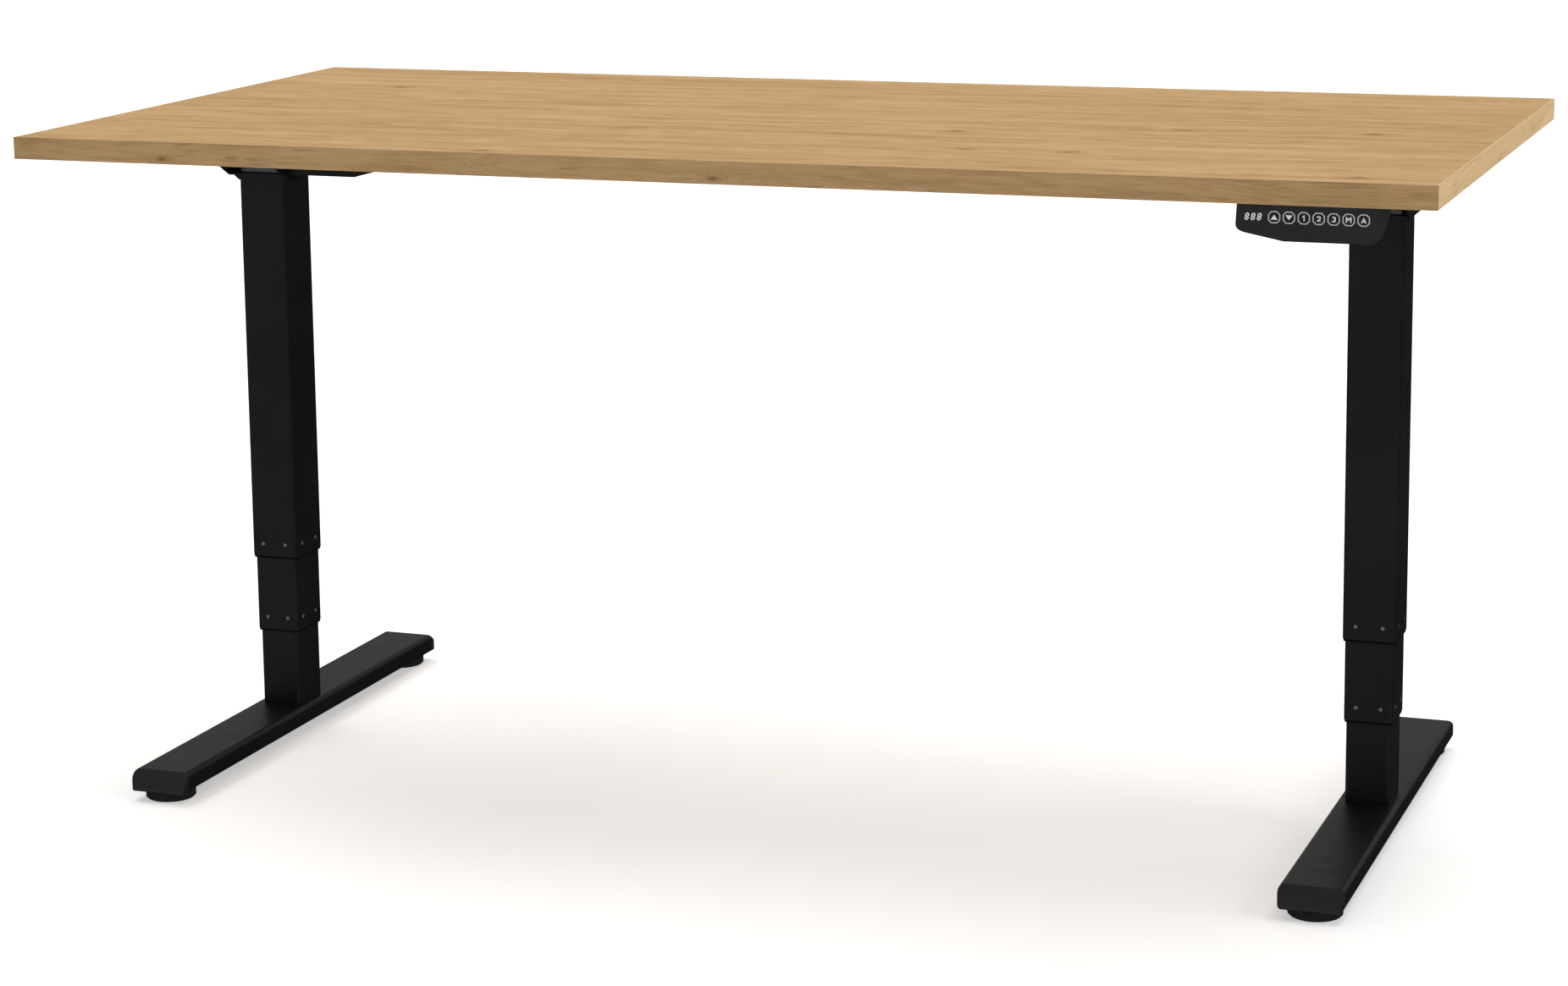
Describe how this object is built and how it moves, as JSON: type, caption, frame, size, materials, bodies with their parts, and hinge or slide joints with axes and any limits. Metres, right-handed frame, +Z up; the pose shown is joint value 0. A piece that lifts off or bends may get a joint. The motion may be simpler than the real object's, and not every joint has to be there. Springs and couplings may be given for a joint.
{
  "type": "height adjustable standing desk",
  "caption": "Electric sit-stand desk: oak-look rectangular top on two telescopic columns with T-feet, crossbeam, control box and front handset with keys.",
  "frame": {"origin": "on the floor, under the middle of the tabletop", "axes": "+X along the tabletop's long side (the user's right), +Y towards the back edge, +Z up"},
  "size_m": [1.6, 0.8, 0.78],
  "materials": {
    "oak_laminate": "matt oak-look laminate",
    "oak_edge": "matt oak-look edge band",
    "black_frame": "fine-textured satin black powder coat",
    "black_glide": "moulded black plastic",
    "black_cap": "moulded black plastic, lightly grained",
    "pad_rubber": "black rubber-faced levelling pad",
    "housing_black": "fine-textured black plastic",
    "gloss_face": "glossy black panel",
    "key_black": "satin black key with a printed white outline",
    "cast_zinc": "die-cast gear housing",
    "motor_steel": "painted motor can",
    "screw_steel": "rolled trapezoidal screw",
    "fastener_steel": "zinc-plated steel",
    "nut_plastic": "natural engineering plastic",
    "circuit_board": "green circuit board",
    "lead_black": "black sheathed lead"
  },
  "bodies": {
    "left_base": {"foot_beam_left": "black_frame", "inner_tube_left": "black_frame", "lower_nut_left": "nut_plastic", "foot_caps_left": "black_cap", "foot_bolts_left": "fastener_steel"},
    "left_middle": {"middle_tube_left": "black_frame", "middle_glide_left": "black_glide", "upper_nut_left": "nut_plastic"},
    "desk_top": {"tabletop_board": "oak_laminate", "edge_bands_long": "oak_edge", "edge_bands_short": "oak_edge", "crossbeam_sleeve": "black_frame", "crossbeam_rail_left": "black_frame", "crossbeam_rail_right": "black_frame", "side_bracket_left": "black_frame", "side_bracket_right": "black_frame", "motor_cover_left": "black_frame", "motor_cover_right": "black_frame", "motor_left": "motor_steel", "motor_right": "motor_steel", "gearbox_left": "cast_zinc", "gearbox_right": "cast_zinc", "outer_tube_left": "black_frame", "outer_tube_right": "black_frame", "outer_glide_left": "black_glide", "outer_glide_right": "black_glide", "control_box_housing": "housing_black", "control_box_lid": "housing_black", "control_board": "circuit_board", "handset_shell": "housing_black", "handset_face": "gloss_face", "handset_board": "circuit_board", "frame_screws": "fastener_steel", "frame_bolts": "fastener_steel", "cable_clips": "black_glide", "motor_leads": "lead_black", "handset_lead": "lead_black"},
    "right_middle": {"middle_tube_right": "black_frame", "middle_glide_right": "black_glide", "upper_nut_right": "nut_plastic"},
    "right_base": {"foot_beam_right": "black_frame", "inner_tube_right": "black_frame", "lower_nut_right": "nut_plastic", "foot_caps_right": "black_cap", "foot_bolts_right": "fastener_steel"},
    "left_inner_screw": {"inner_screw_left": "screw_steel"},
    "right_inner_screw": {"inner_screw_right": "screw_steel"},
    "left_hollow_screw": {"hollow_screw_left": "screw_steel"},
    "right_hollow_screw": {"hollow_screw_right": "screw_steel"},
    "left_front_pad": {"levelling_pad_left_front": "pad_rubber"},
    "left_back_pad": {"levelling_pad_left_back": "pad_rubber"},
    "right_front_pad": {"levelling_pad_right_front": "pad_rubber"},
    "right_back_pad": {"levelling_pad_right_back": "pad_rubber"},
    "key_up": {"key_up": "key_black"},
    "key_down": {"key_down": "key_black"},
    "key_one": {"key_one": "key_black"},
    "key_two": {"key_two": "key_black"},
    "key_three": {"key_three": "key_black"},
    "key_memory": {"key_memory": "key_black"},
    "key_alarm": {"key_alarm": "key_black"}
  },
  "joints": [
    {"name": "left_lower_lift", "type": "slide", "parent": "left_base", "child": "left_middle", "axis": [0, 0, 1], "range_m": [-0.085, 0.24]},
    {"name": "left_upper_lift", "type": "slide", "parent": "left_middle", "child": "desk_top", "axis": [0, 0, 1], "range_m": [-0.085, 0.24]},
    {"name": "right_upper_lift", "type": "slide", "parent": "desk_top", "child": "right_middle", "axis": [0, 0, -1], "range_m": [-0.085, 0.24]},
    {"name": "right_lower_lift", "type": "slide", "parent": "right_middle", "child": "right_base", "axis": [0, 0, -1], "range_m": [-0.085, 0.24]},
    {"name": "left_inner_screw_turn", "type": "hinge", "parent": "desk_top", "child": "left_inner_screw", "pos_m": [-0.675, -0.015, 0.5], "axis": [0, 0, 1], "range_deg": [-3826, 10801]},
    {"name": "left_hollow_screw_turn", "type": "hinge", "parent": "left_middle", "child": "left_hollow_screw", "pos_m": [-0.675, -0.015, 0.4], "axis": [0, 0, 1], "range_deg": [-3826, 10801]},
    {"name": "right_inner_screw_turn", "type": "hinge", "parent": "desk_top", "child": "right_inner_screw", "pos_m": [0.675, -0.015, 0.5], "axis": [0, 0, 1], "range_deg": [-3826, 10801]},
    {"name": "right_hollow_screw_turn", "type": "hinge", "parent": "right_middle", "child": "right_hollow_screw", "pos_m": [0.675, -0.015, 0.4], "axis": [0, 0, 1], "range_deg": [-3826, 10801]},
    {"name": "left_front_levelling", "type": "slide", "parent": "left_base", "child": "left_front_pad", "axis": [0, 0, -1], "range_m": [0, 0.01]},
    {"name": "left_back_levelling", "type": "slide", "parent": "left_base", "child": "left_back_pad", "axis": [0, 0, -1], "range_m": [0, 0.01]},
    {"name": "right_front_levelling", "type": "slide", "parent": "right_base", "child": "right_front_pad", "axis": [0, 0, -1], "range_m": [0, 0.01]},
    {"name": "right_back_levelling", "type": "slide", "parent": "right_base", "child": "right_back_pad", "axis": [0, 0, -1], "range_m": [0, 0.01]},
    {"name": "press_up", "type": "slide", "parent": "desk_top", "child": "key_up", "axis": [0, 1, 0], "range_m": [0, 0.0005], "stiffness_N_per_m": 2000},
    {"name": "press_down", "type": "slide", "parent": "desk_top", "child": "key_down", "axis": [0, 1, 0], "range_m": [0, 0.0005], "stiffness_N_per_m": 2000},
    {"name": "press_one", "type": "slide", "parent": "desk_top", "child": "key_one", "axis": [0, 1, 0], "range_m": [0, 0.0005], "stiffness_N_per_m": 2000},
    {"name": "press_two", "type": "slide", "parent": "desk_top", "child": "key_two", "axis": [0, 1, 0], "range_m": [0, 0.0005], "stiffness_N_per_m": 2000},
    {"name": "press_three", "type": "slide", "parent": "desk_top", "child": "key_three", "axis": [0, 1, 0], "range_m": [0, 0.0005], "stiffness_N_per_m": 2000},
    {"name": "press_memory", "type": "slide", "parent": "desk_top", "child": "key_memory", "axis": [0, 1, 0], "range_m": [0, 0.0005], "stiffness_N_per_m": 2000},
    {"name": "press_alarm", "type": "slide", "parent": "desk_top", "child": "key_alarm", "axis": [0, 1, 0], "range_m": [0, 0.0005], "stiffness_N_per_m": 2000}
  ],
  "couplings": [
    {"joint": "left_lower_lift", "follows": "left_upper_lift", "ratio": 1},
    {"joint": "right_upper_lift", "follows": "left_upper_lift", "ratio": 1},
    {"joint": "right_lower_lift", "follows": "left_upper_lift", "ratio": 1},
    {"joint": "left_inner_screw_turn", "follows": "left_upper_lift", "rad_per_m": 785.4},
    {"joint": "left_hollow_screw_turn", "follows": "left_upper_lift", "rad_per_m": 785.4},
    {"joint": "right_inner_screw_turn", "follows": "left_upper_lift", "rad_per_m": 785.4},
    {"joint": "right_hollow_screw_turn", "follows": "left_upper_lift", "rad_per_m": 785.4}
  ]
}
